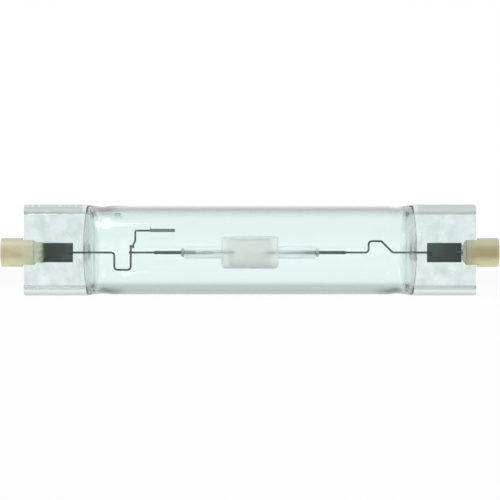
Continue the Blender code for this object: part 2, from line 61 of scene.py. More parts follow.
# Outer bulb. Clear quartz tube, softened in a flame at each end and pressed flat round the leads, which
# leaves a thin web between two thick beads. It was pumped out through a side tube, and that tube's
# melted-off stub is the tip on the back. A dark reflection is painted on top of the left neck.
bulb_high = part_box("outer_bulb")[1]
bulb_radius = bulb_high.y
bulb_wall = 0.0012
pinch_end = bulb_high.x
pinch_start = pinch_end - 0.0139
pinch_half_width = bulb_high.z
pinch_thickness = 0.0026
pinch_end_rounding = 0.0005
pinch_end_rings = (22, 45, 68, 90)
bead_thickness = 0.0044
bead_width = 0.0023
bead_slope = 0.4
bead_corner = 0.0012
bead_edge_drop = 0.0009
tube_end = pinch_start - 0.0062
shoulder_start = pinch_start - 0.0028
shoulder_fullness = 3.0
shoulder_bow = 0.2
edge_fullness = 6.0
cavity_end = pinch_start - 0.0008
cavity_end_thickness = 0.00008
cavity_end_half_width = 0.0088
neck_x = 0.0347
neck_reach = 0.0026
neck_depth = 0.00022
tip_x = 0.0017 - tube_end
tip_angle = math.radians(65)
tip_radius = 0.0017
tip_foot_reach = 1.5
tip_foot_swell = 0.0003
tip_crown_reach = 0.6
tip_crown_height = 0.0007
ripple_height = 0.00009
ripple_size = 0.0032
ripple_offset = Vector((7.3, 0, 2.1))
bulb_points = 224
seam_points = 8
shoulder_rings = 64
pinch_ring_gap = 0.0004
tube_ring_gap = 0.0030
tip_ring_gap = 0.0002
least_ring_gap = 0.00004


def ease(share):
    """A smooth step from 0 to 1."""
    share = min(max(share, 0.0), 1.0)
    return share * share * (3 - 2 * share)


def pinch_half_thickness(across):
    """Half the pinch's thickness at a distance from its middle."""
    from_edge = pinch_half_width - across
    bead = ease((bead_width - from_edge) / (bead_slope * bead_width))
    thick = pinch_thickness + (bead_thickness - pinch_thickness) * bead
    inset = max(1 - from_edge / bead_corner, 0.0)
    return thick / 2 - bead_edge_drop * (1 - math.sqrt(1 - inset**2))


def cavity_half_thickness(across):
    """Half the hollow's thickness where it closes, the same from edge to edge."""
    return cavity_end_thickness / 2


def flatness(x, end, height):
    """How far a skin is pressed flat at x, 0 to 1, at a height that is a share of its radius."""
    share = min(max((abs(x) - tube_end) / (end - tube_end), 0.0), 1.0)
    fullness = shoulder_fullness + (edge_fullness - shoulder_fullness) * height**4
    return ease(min(share * (1 + shoulder_bow * height**2), 1.0) ** fullness)


def bulb_ring(x, end, radius, half_width, half_thickness):
    """(y, z) points round a skin at a place x: a circle along the tube, and flat from end on."""
    radius -= neck_depth * ease(1 - abs(abs(x) - neck_x) / neck_reach)
    ring = []
    for i in range(bulb_points):
        angle = 2 * math.pi * i / bulb_points
        cosine, sine = math.cos(angle), math.sin(angle)
        across = abs(sine) * half_width
        thick = half_thickness(across) * min(abs(cosine) * bulb_points / seam_points, 1.0)
        flat = flatness(x, end, sine * radius / bulb_radius)
        y = radius * cosine * (1 - flat) + math.copysign(thick, cosine) * flat
        z = radius * sine * (1 - flat) + math.copysign(across, sine) * flat
        ring.append((y, z))
    return ring


def spread(start, end, gap):
    """Places from start to end, no more than a gap apart."""
    count = max(1, math.ceil((end - start) / gap))
    return [start + (end - start) * i / count for i in range(count + 1)]


def ring_places(end, last):
    """Where rings stand from end to end: closest together where the shoulders are steepest."""
    half = spread(0, neck_x - neck_reach, tube_ring_gap)
    half += spread(neck_x - neck_reach, tube_end, pinch_ring_gap)[1:]
    for i in range(1, shoulder_rings + 1):
        half.append(tube_end + (i / shoulder_rings) ** 0.5 * (end - tube_end))
    if last > end:
        half += spread(end, last, pinch_ring_gap)[1:]
    return [-x for x in half[:0:-1]] + half


def lofted(bm, rings):
    """Adds a closed skin through rings of (y, z) points, each at its own x, and returns its faces."""
    rows = [[bm.verts.new((x, y, z)) for y, z in ring] for x, ring in rings]
    faces = []
    for row, following in zip(rows, rows[1:]):
        for i in range(len(row)):
            j = (i + 1) % len(row)
            faces.append(bm.faces.new((row[i], row[j], following[j], following[i])))
    faces.append(bm.faces.new(rows[0][::-1]))
    faces.append(bm.faces.new(rows[-1]))
    return faces


def raise_tip(vert):
    """Lifts the skin into the stub of the pumping tube."""
    axis = Vector((0, math.cos(tip_angle), math.sin(tip_angle)))
    foot = Vector((tip_x, 0, 0)) + axis * axis.dot(vert.co)
    away = (vert.co - foot).length / tip_radius
    if axis.dot(vert.co) > 0:
        swell = tip_foot_swell * ease(1 - away / tip_foot_reach)
        crown = tip_crown_height * ease(1 - away / tip_crown_reach)
        vert.co += axis * (swell + crown)


def ripple(vert):
    """Gives the pressed glass the slight waves of a surface that cooled against a jaw."""
    pressed = ease((abs(vert.co.x) - shoulder_start) / (pinch_start - shoulder_start))
    inner = ease((pinch_half_width - abs(vert.co.z)) / bead_width)
    flow = noise.noise(vert.co / ripple_size + ripple_offset)
    vert.co.y += math.copysign(ripple_height * flow * pressed * inner, vert.co.y)


def meshed(name, bm, crease=None):
    """A smooth-shaded mesh, with sharp edges where it turns by more than crease degrees."""
    mesh = bpy.data.meshes.new(name)
    bm.to_mesh(mesh)
    bm.free()
    mesh.shade_smooth()
    if crease:
        mesh.set_sharp_from_angle(angle=math.radians(crease))
    return mesh


def riding(name, shape, material):
    """A piece made of a mesh or a curve, which moves with the lamp."""
    shape.materials.append(material)
    piece = bpy.data.objects.new(name, shape)
    bpy.context.scene.collection.objects.link(piece)
    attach(piece, "root")
    return piece


places = ring_places(pinch_start, pinch_end - pinch_end_rounding)
places = sorted(places + spread(tip_x - 2 * tip_radius, tip_x + 2 * tip_radius, tip_ring_gap))
places = [x for x, following in zip(places, places[1:] + [math.inf]) if following - x > least_ring_gap]
outside = (pinch_start, bulb_radius, pinch_half_width, pinch_half_thickness)
outer_rings = [(x, bulb_ring(x, *outside)) for x in places]
for degrees in pinch_end_rings:
    inset = pinch_end_rounding * (1 - math.cos(math.radians(degrees)))
    x = pinch_end - pinch_end_rounding * (1 - math.sin(math.radians(degrees)))
    end_ring = []
    for y, z in bulb_ring(x, *outside):
        end_ring.append((math.copysign(max(abs(y) - inset, 0), y), z * (1 - inset / pinch_half_width)))
    outer_rings = [(-x, end_ring), *outer_rings, (x, end_ring)]
bm = bmesh.new()
outer_faces = lofted(bm, outer_rings)
for vert in bm.verts:
    raise_tip(vert)
    ripple(vert)
inside = (cavity_end, bulb_radius - bulb_wall, cavity_end_half_width, cavity_half_thickness)
inner_rings = [(x, bulb_ring(x, *inside)) for x in ring_places(cavity_end, cavity_end)]
inner_faces = lofted(bm, inner_rings)
bmesh.ops.recalc_face_normals(bm, faces=outer_faces)
bmesh.ops.recalc_face_normals(bm, faces=inner_faces)
bmesh.ops.reverse_faces(bm, faces=inner_faces)
bulb_mesh = meshed("quartz_bulb", bm, 50)


class Field:
    """An output of a shader node. Sums on it add Math nodes, and node() adds any other node."""

    def __init__(self, tree, socket=None):
        self.tree = tree
        self.socket = socket

    def node(self, kind, settings, sockets, output=0):
        """Adds a node: its settings first, then a value or a field on each named socket."""
        node = self.tree.nodes.new(kind)
        for name, value in settings.items():
            setattr(node, name, value)
        for name, value in sockets.items():
            if isinstance(value, Field):
                self.tree.links.new(value.socket, node.inputs[name])
            else:
                node.inputs[name].default_value = value
        return Field(self.tree, node.outputs[output] if node.outputs else None)

    def maths(self, operation, *values):
        """Adds a Math node on numbers or fields."""
        return self.node("ShaderNodeMath", {"operation": operation}, dict(enumerate(values)))

    def __add__(self, other):
        return self.maths("ADD", self, other)

    def __radd__(self, other):
        return self.maths("ADD", other, self)

    def __sub__(self, other):
        return self.maths("SUBTRACT", self, other)

    def __rsub__(self, other):
        return self.maths("SUBTRACT", other, self)

    def __mul__(self, other):
        return self.maths("MULTIPLY", self, other)

    def __rmul__(self, other):
        return self.maths("MULTIPLY", other, self)

    def __abs__(self):
        return self.maths("ABSOLUTE", self)

    def larger(self, other):
        """The larger of this value and another."""
        return self.maths("MAXIMUM", self, other)

    def step(self, low, high):
        """0 below low, 1 above high, and smooth between."""
        sockets = {"Value": self, "From Min": low, "From Max": high}
        return self.node("ShaderNodeMapRange", {"interpolation_type": "SMOOTHSTEP"}, sockets)

    def between(self, rise, fall):
        """1 between two soft edges, each given by its low and high end."""
        return self.step(*rise) * (1 - self.step(*fall))

    def mix(self, first, second):
        """The first colour where this field is 0, and the second where it is 1."""
        return self.node("ShaderNodeMix", {"data_type": "RGBA"}, {0: self, 6: first, 7: second}, 2)

    def axis(self, name):
        """One of X, Y and Z of this vector."""
        return self.node("ShaderNodeSeparateXYZ", {}, {0: self}, name)

    def scaled(self, x, y, z):
        """This vector with each axis scaled by its own number."""
        return self.node("ShaderNodeVectorMath", {"operation": "MULTIPLY"}, {0: self, 1: (x, y, z)})

    def distance(self, point):
        """How far this place is from a point."""
        return self.node("ShaderNodeVectorMath", {"operation": "DISTANCE"}, {0: self, 1: point}, "Value")

    def cloud(self, scale, detail=2.0):
        """Soft noise from 0 to 1 at these coordinates."""
        return self.node("ShaderNodeTexNoise", {}, {"Vector": self, "Scale": scale, "Detail": detail})

    def bump(self, strength, depth):
        """Normals that follow this field as a height."""
        return self.node("ShaderNodeBump", {}, {"Height": self, "Strength": strength, "Distance": depth})


def paint(red, green, blue):
    """A shader colour from the numbers that a screen shows, 0 to 255."""
    linear = []
    for value in (red, green, blue):
        value /= 255
        linear.append(value / 12.92 if value <= 0.04045 else ((value + 0.055) / 1.055) ** 2.4)
    return (*linear, 1.0)


def new_material(name):
    """An empty material, and its coordinates in the lamp's own metres."""
    material = bpy.data.materials.new(name)
    material.use_nodes = True
    material.node_tree.nodes.clear()
    start = Field(material.node_tree)
    return material, start.node("ShaderNodeTexCoord", {}, {}, "Object")


def end_material(surface):
    """Links a material's last shader to its output."""
    surface.node("ShaderNodeOutputMaterial", {}, {"Surface": surface})


# What is left of white light after the glass, in linear red, green and blue.
tube_glass = ((0.908, 0.982, 0.974, 1), (0.888, 0.969, 0.961, 1))
web_glass = ((0.785, 0.895, 0.860, 1), (0.600, 0.715, 0.695, 1))
# The beads' tint with painted shade: lighter for the lower bead, darker for the upper one.
bead_glass_and_painted_shade = ((0.740, 0.810, 0.800, 1), (0.570, 0.645, 0.630, 1))
lilac_glass = (0.740, 0.805, 0.860, 1)
shoulder_glass = (0.760, 0.855, 0.850, 1)
# The colour of the dark reflection painted on top of the left neck.
painted_reflection_glass = (0.540, 0.560, 0.560, 1)
shadow_glass = (0.93, 0.97, 0.965, 1)
# Where the marks and tints of the glass begin and end, each over a short fade.
jaw_edge = (pinch_start - 0.0004, pinch_start + 0.0008)
bloom_rise = (tube_end + 0.002, cavity_end)
bloom_fall = (pinch_start, pinch_start + 0.002)
shoulder_rise = (shoulder_start, shoulder_start + 0.0012)
shoulder_fall = (pinch_start - 0.0002, pinch_start + 0.0006)
bead_edge = (pinch_half_width - bead_width, pinch_half_width - 0.0012)
outer_skin = (bulb_radius - 0.7 * bulb_wall, bulb_radius - 0.3 * bulb_wall)
# Where the painted dark reflection lies: its place along X, how far it fades, and how high on the outer
# skin.
painted_reflection_x = -0.0341
painted_reflection_reach = (0.0006, 0.0032)
painted_reflection_height = (0.0088, 0.0098)

quartz, place = new_material("quartz")
middle_out = abs(place.axis("X"))
up_down = place.axis("Z")
pressed = middle_out.step(shoulder_start, pinch_start)
draw_lines = place.scaled(8, 260, 260).cloud(1.0, 3.0)
jaw_marks = place.cloud(420, 3.0)
relief = draw_lines * (1 - pressed) * 0.15 + jaw_marks * middle_out.step(*jaw_edge)
bloom = middle_out.between(bloom_rise, bloom_fall)
tube_tint = place.cloud(90).mix(*tube_glass)
# Painted shade: the beads' tint darkens from the lower bead to the upper one.
bead_tint_and_painted_shade = up_down.step(-0.002, 0.002).mix(*bead_glass_and_painted_shade)
web_tint = place.cloud(380, 3.0).step(0.35, 0.65).mix(*web_glass)
lilac = place.cloud(170, 1.0).step(0.50, 0.68)
web_tint = (lilac * 0.45).mix(web_tint, lilac_glass)
pinch_tint = abs(up_down).step(*bead_edge).mix(web_tint, bead_tint_and_painted_shade)
in_shoulder = middle_out.between(shoulder_rise, shoulder_fall)
glass_tint = (in_shoulder * 0.8).mix(pressed.mix(tube_tint, pinch_tint), shoulder_glass)
from_axis = place.scaled(0, 1, 1).distance((0, 0, 0))
# Painted dark reflection: a dark patch on the outer skin on top of the left neck.
painted_dark_reflection = 1 - abs(place.axis("X") - painted_reflection_x).step(*painted_reflection_reach)
painted_dark_reflection = painted_dark_reflection * from_axis.step(*outer_skin) * up_down.step(*painted_reflection_height)
quartz_shader = place.node("ShaderNodeBsdfPrincipled", {}, {
    "Base Color": painted_dark_reflection.mix(glass_tint, painted_reflection_glass),
    "Roughness": bloom * 0.2,
    "IOR": 1.458,
    "Transmission Weight": 1.0,
    "Normal": relief.bump(0.12, 0.0002),
})
in_shadow = place.node("ShaderNodeLightPath", {}, {}, "Is Shadow Ray")
clear = place.node("ShaderNodeBsdfTransparent", {}, {"Color": shadow_glass})
end_material(place.node("ShaderNodeMixShader", {}, {0: in_shadow, 1: quartz_shader, 2: clear}))

bulb = riding("quartz_bulb", bulb_mesh, quartz)
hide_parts("outer_bulb")


# Seal foils. Molybdenum foil 0.1 mm thick, rolled and then etched so that its long edges thin out to
# a knife edge. The quartz grips it and makes the gas-tight seal. Both leads are welded to its face.
foil_fill = 0.4
foil_edge = 0.0008
foil_edge_share = 0.02
foil_ripple = 0.00003
foil_ripple_size = 0.0018
foil_grid_gap = 0.0003
foil_tarnish = (pinch_start + 0.003, pinch_start + 0.008)

molybdenum_foil, place = new_material("molybdenum_foil")
rolling = place.scaled(150, 1, 2600).cloud(1.0, 4.0)
stain = place.scaled(1, 1, 1.4).cloud(330, 4.0).step(0.35, 0.75)
inner_grey = rolling.mix(paint(56, 70, 66), paint(80, 97, 92))
outer_grey = rolling.mix(paint(34, 44, 40), paint(54, 64, 60))
foil_grey = abs(place.axis("X")).step(*foil_tarnish).mix(inner_grey, outer_grey)
end_material(place.node("ShaderNodeBsdfPrincipled", {}, {
    "Base Color": (stain * 0.6).mix(foil_grey, paint(36, 44, 42)),
    "Metallic": 0.55,
    "Roughness": 0.34 + stain * 0.18,
    "Normal": rolling.bump(0.25, 0.00005),
}))


def borders(grid):
    """The four edges of a grid of points."""
    return [grid[0], grid[-1], [row[0] for row in grid], [row[-1] for row in grid]]


for side in ("left", "right"):
    low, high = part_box(f"seal_foil_{side}")
    half_thick = (high.y - low.y) / 2
    middle_y = (high.y + low.y) / 2
    across = [low.z, *spread(low.z + foil_edge, high.z - foil_edge, foil_grid_gap), high.z]
    bm = bmesh.new()
    grids = []
    for face in (-1, 1):
        grid = []
        for x in spread(low.x, high.x, foil_grid_gap):
            row = []
            for z in across:
                inward = ease(min(z - low.z, high.z - z) / foil_edge)
                thick = half_thick * (foil_edge_share + (1 - foil_edge_share) * inward)
                wave = foil_ripple * noise.noise(Vector((x, 0, z)) / foil_ripple_size)
                row.append(bm.verts.new((x, middle_y + face * thick * foil_fill + wave * inward, z)))
            grid.append(row)
        for row, following in zip(grid, grid[1:]):
            for i in range(len(row) - 1):
                bm.faces.new((row[i], row[i + 1], following[i + 1], following[i]))
        grids.append(grid)
    for rim, back in zip(borders(grids[1]), borders(grids[0])):
        for i in range(len(rim) - 1):
            bm.faces.new((rim[i], rim[i + 1], back[i + 1], back[i]))
    bmesh.ops.recalc_face_normals(bm, faces=bm.faces)
    foil = riding(f"foil_{side}", meshed(f"foil_{side}", bm), molybdenum_foil)
    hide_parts(f"seal_foil_{side}")


# Leads. Drawn molybdenum wire, 0.5 mm thick. The left one has a square loop and the right one a hump,
# so that the arc tube can grow as it heats without straining the seals. All joints are resistance
# welds, which flatten the wire a little and leave it darker.
wire_radius = 0.00025
wire_bend = 0.0008
bend_share = 0.45
wire_end_length = 0.35
wire_end_share = 0.72
bend_steps = 12
weld_gap = 0.0001
weld_setback = 0.0006
weld_stain = (0.0004, 0.0016)
seal_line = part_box("outer_lead_left")[0].z + wire_radius


def straight(low, high, y=0):
    """The two ends of a wire that lies along the seal line, at a depth y."""
    return [Vector((low.x, y, seal_line)), Vector((high.x, y, seal_line))]


def bent(corners, bend):
    """A wire's path through its corners, each rounded to the bend radius where there is room."""
    corners = [Vector(corner) for corner in corners]
    path = [corners[0]]
    for before, corner, after in zip(corners, corners[1:], corners[2:]):
        into, out_of = before - corner, after - corner
        turn = math.pi - into.angle(out_of)
        room = bend_share * min(into.length, out_of.length)
        reach = min(bend * math.tan(turn / 2), room)
        radius = reach / math.tan(turn / 2)
        into.normalize()
        out_of.normalize()
        centre = corner + (into + out_of).normalized() * math.hypot(reach, radius)
        first, last = corner + into * reach - centre, corner + out_of * reach - centre
        for i in range(bend_steps + 1):
            path.append(centre + radius * first.slerp(last, i / bend_steps))
    path.append(corners[-1])
    return path


def drawn_wire(name, path, radius, material):
    """A round wire with softened ends, as a curve that rides with the lamp."""
    start, end = (path[1] - path[0]).normalized(), (path[-1] - path[-2]).normalized()
    soft = radius * wire_end_length
    path = [path[0], path[0] + start * soft, *path[1:-1], path[-1] - end * soft, path[-1]]
    curve = bpy.data.curves.new(name, "CURVE")
    curve.dimensions = "3D"
    curve.bevel_depth = radius
    curve.bevel_resolution = 6
    curve.use_fill_caps = True
    spline = curve.splines.new("POLY")
    spline.points.add(len(path) - 1)
    for point, spot in zip(spline.points, path):
        point.co = (*spot, 1.0)
    spline.points[0].radius = wire_end_share
    spline.points[-1].radius = wire_end_share
    return riding(name, curve, material)


def drawn_metal(name, dark, light, roughness, welds=()):
    """Metal drawn along X, with a dark heat stain round each weld's place."""
    material, place = new_material(name)
    lines = place.scaled(500, 9000, 9000).cloud(1.0, 3.0)
    blotch = place.cloud(900, 3.0)
    grey = (lines * 0.5 + blotch * 0.5).mix(dark, light)
    stain = 0.0
    for weld in welds:
        stain = (1 - place.distance(weld).step(*weld_stain)).larger(stain)
    if welds:
        grey = (stain * 0.6).mix(grey, paint(52, 54, 56))
    end_material(place.node("ShaderNodeBsdfPrincipled", {}, {
        "Base Color": grey,
        "Metallic": 0.85,
        "Roughness": roughness + blotch * 0.15,
        "Normal": lines.bump(0.2, 0.00003),
    }))
    return material


niobium_low, niobium_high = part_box("niobium_lead_right")
niobium_radius = (niobium_high.y - niobium_low.y) / 2
niobium_end = niobium_high.x
link_y = niobium_radius + weld_gap + wire_radius
riser_y = link_y - 2 * wire_radius - weld_gap
left_low, left_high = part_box("lead_wire_left")
lead_run = pinch_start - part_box("arc_capillary_right")[1].x
riser_x = left_high.x - wire_radius
riser_top = left_high.z
loop_x = riser_x - 0.165 * lead_run
loop_z = left_low.z + wire_radius
molybdenum = drawn_metal("molybdenum_wire", paint(58, 68, 66), paint(94, 104, 101), 0.30, [
    (left_low.x + weld_setback, 0, seal_line),
    (-left_low.x - weld_setback, 0, seal_line),
    (riser_x, riser_y, seal_line),
    (-niobium_end, link_y, seal_line),
    (niobium_end, link_y, seal_line),
])
left_corners = [
    (left_low.x, 0, seal_line),
    (-cavity_end, 0, seal_line),
    (loop_x, riser_y, seal_line),
    (loop_x, riser_y, loop_z),
    (riser_x, riser_y, loop_z),
    (riser_x, riser_y, riser_top),
]
left_lead = drawn_wire("left_lead", bent(left_corners, wire_bend), wire_radius, molybdenum)
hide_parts("lead_wire_left")

link_ends = straight(*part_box("link_wire_left"), link_y)
link = drawn_wire("left_link", link_ends, wire_radius, molybdenum)
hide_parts("link_wire_left")

right_low, right_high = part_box("lead_wire_right")
hump_x = pinch_start - 0.24 * lead_run
hump_top_x = hump_x - 0.11 * lead_run
hump_leg_x = hump_top_x - 0.125 * lead_run
hump_z = right_high.z - wire_radius
right_corners = [
    (right_high.x, 0, seal_line),
    (hump_x, 0, seal_line),
    (hump_top_x, link_y / 3, hump_z),
    (hump_leg_x, link_y, hump_z),
    (hump_leg_x, link_y, seal_line),
    (right_low.x, link_y, seal_line),
]
right_lead = drawn_wire("right_lead", bent(right_corners, wire_bend), wire_radius, molybdenum)
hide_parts("lead_wire_right")

for side in ("left", "right"):
    ends = straight(*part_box(f"outer_lead_{side}"))
    outer_lead = drawn_wire(f"{side}_outer_lead", ends, wire_radius, molybdenum)
    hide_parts(f"outer_lead_{side}")


# Getter. A tray of thin steel, pressed from strip, with a dark gas-binding alloy pressed into it. It
# keeps the space in the bulb clean. It is welded edge-on to a thin wire that stands on the riser.
getter_low, getter_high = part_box("getter_wire")
getter_radius = (getter_high.y - getter_low.y) / 2
getter_y = (getter_high.y + getter_low.y) / 2
getter_foot_x = getter_low.x + getter_radius
getter_stem_x = getter_foot_x + 2 * wire_radius
getter_arm_z = getter_high.z - getter_radius
tray_low, tray_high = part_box("getter_tray")
tray_wall = 0.00012
tray_edge = 0.00003
alloy_low, alloy_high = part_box("getter_alloy")
alloy_edge = 0.00004
tray_rim = alloy_high.z

getter_corners = [
    (getter_foot_x, getter_y, getter_low.z),
    (getter_foot_x, getter_y, riser_top),
    (getter_stem_x, getter_y, riser_top + 4 * wire_radius),
    (getter_stem_x, getter_y, getter_arm_z),
    (getter_high.x, getter_y, getter_arm_z),
]
getter_path = bent(getter_corners, wire_bend / 2)
getter_wire = drawn_wire("getter_stem", getter_path, getter_radius, molybdenum)
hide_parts("getter_wire")


def boxed(bm, low, high):
    """Adds a box between two corners."""
    made = bmesh.ops.create_cube(bm, size=1.0)["verts"]
    bmesh.ops.scale(bm, vec=high - low, verts=made)
    bmesh.ops.translate(bm, vec=(high + low) / 2, verts=made)


def pulled(bm, face, height):
    """Pulls a level face up or down to a height, with walls round its way."""
    for made in bmesh.ops.extrude_face_region(bm, geom=[face])["geom"]:
        if isinstance(made, bmesh.types.BMVert):
            made.co.z = height


def placed(name, bm, material):
    """A mesh piece that rides with the lamp, smooth but where it turns by more than 35 degrees."""
    return riding(name, meshed(name, bm, 35), material)


def soften(piece, width, angle):
    """Rounds a piece's edges, where they turn by more than an angle in degrees."""
    rounding = piece.modifiers.new("rounding", "BEVEL")
    rounding.width = width
    rounding.segments = 3
    rounding.limit_method = "ANGLE"
    rounding.angle_limit = math.radians(angle)
    rounding.harden_normals = True


tray_steel = drawn_metal("tray_steel", paint(104, 108, 106), paint(140, 144, 141), 0.34)
bm = bmesh.new()
boxed(bm, tray_low, Vector((tray_high.x, tray_high.y, tray_rim)))
mouth = max(bm.faces, key=lambda face: face.calc_center_median().z)
rims = bmesh.ops.inset_region(bm, faces=[mouth], thickness=tray_wall)["faces"]
pulled(bm, mouth, tray_low.z + tray_wall)
tab = min(rims, key=lambda face: face.calc_center_median().x)
pulled(bm, tab, tray_high.z)
left_behind = [face for face in (mouth, tab) if face.is_valid]
bmesh.ops.delete(bm, geom=left_behind, context="FACES_ONLY")
bmesh.ops.recalc_face_normals(bm, faces=bm.faces)
tray = placed("getter_strip_tray", bm, tray_steel)
soften(tray, tray_edge, 35)
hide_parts("getter_tray")

getter_alloy, place = new_material("pressed_alloy")
grains = place.cloud(5200, 3.0)
end_material(place.node("ShaderNodeBsdfPrincipled", {}, {
    "Base Color": grains.mix(paint(62, 64, 64), paint(112, 113, 112)),
    "Metallic": 0.4,
    "Roughness": 0.62 + grains * 0.2,
    "Normal": grains.bump(0.7, 0.00005),
}))
bm = bmesh.new()
boxed(bm, alloy_low, alloy_high)
alloy = placed("getter_filling", bm, getter_alloy)
soften(alloy, alloy_edge, 35)
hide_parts("getter_alloy")


# Welds. Where wires cross or lie along each other, the current melts a small flattened nugget
# between them. The foil has two such spots at each lead.
crossing_y = (riser_y + link_y) / 2
lap_y = link_y / 2 + 0.0001
foil_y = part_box("seal_foil_left")[0].y - 0.00004
foil_low, foil_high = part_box("seal_foil_right")
# Each nugget by its three radii, and those of a lap also by how far they lie from its end.
crossing_nugget = (0.00030, 0.00042, 0.00034)
lap_nuggets = (
    (0.0003, (0.00050, 0.00036, 0.00026)),
    (0.0011, (0.00040, 0.00036, 0.00026)),
)
riser_nugget = (0.00022, 0.00020, 0.00030)
tray_spots = (0.0009, 0.0016)
tray_nugget = (0.00026, 0.00014, 0.00018)
foil_spots = (0.0003, 0.0009)
foil_nugget = (0.00018, 0.00011, 0.00021)
nugget_lumps = 0.14
nugget_grain = 1.7
nugget_variety = 900

welds = [((riser_x, crossing_y, seal_line), crossing_nugget)]
for way in (-1, 1):
    for setback, radii in lap_nuggets:
        welds.append(((way * (niobium_end - setback), lap_y, seal_line), radii))
welds.append(((riser_x + 0.00027, riser_y, riser_top - 0.0004), riser_nugget))
for spot in tray_spots:
    welds.append(((tray_low.x + spot, tray_high.y, getter_arm_z), tray_nugget))
for way in (-1, 1):
    for x in [foil_low.x + spot for spot in foil_spots] + [foil_high.x - spot for spot in foil_spots]:
        welds.append(((way * x, foil_y, seal_line), foil_nugget))
bm = bmesh.new()
for spot, radii in welds:
    nugget = bmesh.ops.create_icosphere(bm, subdivisions=3, radius=1.0)["verts"]
    for vert in nugget:
        grain = vert.co * nugget_grain + Vector(spot) * nugget_variety
        vert.co *= 1 + nugget_lumps * noise.noise(grain)
    bmesh.ops.scale(bm, vec=radii, verts=nugget)
    bmesh.ops.translate(bm, vec=spot, verts=nugget)
weld_metal = drawn_metal("weld_metal", paint(70, 74, 76), paint(112, 116, 116), 0.36)
nuggets = placed("weld_nuggets", bm, weld_metal)


# Arc tube. Translucent alumina, sintered as one piece from a body, two end plugs and two thin
# capillaries. It holds the metal salts, and light leaves it scattered, so it looks milky.
body_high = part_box("arc_body")[1]
body_radius = body_high.y
body_half = body_high.x
body_wall = 0.0008
body_rounding = 0.0007
chamber_rounding = 0.0004
plug_low, plug_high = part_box("arc_plug_right")
plug_dish = 0.0001
joint_fillet = 0.0003
capillary_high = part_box("arc_capillary_right")[1]
capillary_radius = capillary_high.y
capillary_end = capillary_high.x
capillary_bore = 0.0006
capillary_edge = 0.0002


def arc(centre_x, centre_r, radius, first, last, steps=6):
    """(x, r) points on an arc, its angles in degrees from +X towards +r."""
    points = []
    for i in range(steps + 1):
        angle = math.radians(first + (last - first) * i / steps)
        points.append((centre_x + radius * math.cos(angle), centre_r + radius * math.sin(angle)))
    return points


def turned(profile, way=1, steps=96):
    """A ring-shaped solid: a closed outline of (x, r) points, spun about the seal line."""
    bm = bmesh.new()
    rows = []
    for i in range(steps):
        angle = 2 * math.pi * i / steps
        cosine, sine = math.cos(angle), math.sin(angle)
        rows.append([bm.verts.new((way * x, r * cosine, seal_line + r * sine)) for x, r in profile])
    for row, following in zip(rows, rows[1:] + rows[:1]):
        for j in range(len(profile)):
            k = (j + 1) % len(profile)
            bm.faces.new((row[j], row[k], following[k], following[j]))
    bmesh.ops.remove_doubles(bm, verts=bm.verts, dist=1e-8)
    bmesh.ops.recalc_face_normals(bm, faces=bm.faces)
    return bm


chamber_end = plug_low.x
chamber_radius = body_radius - body_wall
half_profile = [
    *arc(body_half - body_rounding, body_radius - body_rounding, body_rounding, 90, 0),
    (body_half, chamber_radius),
    (plug_high.x, chamber_radius - plug_dish),
    *arc(plug_high.x + joint_fillet, capillary_radius + joint_fillet, joint_fillet, 180, 270),
    *arc(capillary_end - capillary_edge, capillary_radius - capillary_edge, capillary_edge, 90, 0),
    (capillary_end, capillary_bore),
    (chamber_end, capillary_bore),
    *arc(chamber_end - chamber_rounding, chamber_radius - chamber_rounding, chamber_rounding, 0, 90),
]
arc_profile = half_profile + [(-x, r) for x, r in reversed(half_profile)]

alumina, place = new_material("translucent_alumina")
grain = place.cloud(2600, 4.0)
haze = place.scaled(1, 1.6, 1.6).cloud(260, 3.0)
salt = 1 - place.axis("Z").step(seal_line - body_radius, seal_line - 0.35 * body_radius)
beyond_body = abs(place.axis("X")).step(body_half - 0.0008, body_half)
alumina_white = haze.mix(paint(245, 242, 240), paint(250, 248, 246))
alumina_white = beyond_body.mix(alumina_white, paint(253, 253, 252))
end_material(place.node("ShaderNodeBsdfPrincipled", {}, {
    "Base Color": (salt * haze * 0.12).mix(alumina_white, paint(226, 222, 204)),
    "Roughness": 0.42 + grain * 0.14,
    "IOR": 1.13,
    "Transmission Weight": 0.86,
    "Normal": grain.bump(0.25, 0.00003),
}))
arc_tube = placed("arc_tube", turned(arc_profile), alumina)
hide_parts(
    "arc_body", "arc_plug_left", "arc_plug_right", "arc_capillary_left", "arc_capillary_right"
)


# Feedthroughs. A niobium rod outside, which grows with heat as the alumina does, then molybdenum and
# tungsten, butt-welded in line. A ring of glass frit melts round the niobium and seals the capillary.
coil_wire_radius = 0.00008
coil_turns = 5
coil_steps = 24
frit_bore = niobium_radius + 0.00002
frit_foot_share = 0.94
frit_fullness = 0.7

niobium = drawn_metal("niobium_rod", paint(54, 62, 61), paint(86, 94, 92), 0.34, [
    (-niobium_end, 0, seal_line),
    (niobium_end, 0, seal_line),
])
tungsten = drawn_metal("tungsten_rod", paint(168, 170, 172), paint(204, 206, 208), 0.36)
bright_molybdenum = drawn_metal("bright_molybdenum", paint(158, 162, 161), paint(192, 196, 194), 0.36)
frit_glass, place = new_material("frit_glass")
bubbles = place.cloud(3000, 3.0)
end_material(place.node("ShaderNodeBsdfPrincipled", {}, {
    "Base Color": bubbles.mix(paint(196, 200, 194), paint(222, 226, 220)),
    "Roughness": 0.22 + bubbles * 0.2,
    "Transmission Weight": 0.6,
    "Normal": bubbles.bump(0.3, 0.00005),
}))


def ends_along(node, way):
    """A node's two ends along X: the one nearer the lamp's middle, then the other."""
    low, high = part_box(node)
    return (low.x, high.x) if way > 0 else (high.x, low.x)


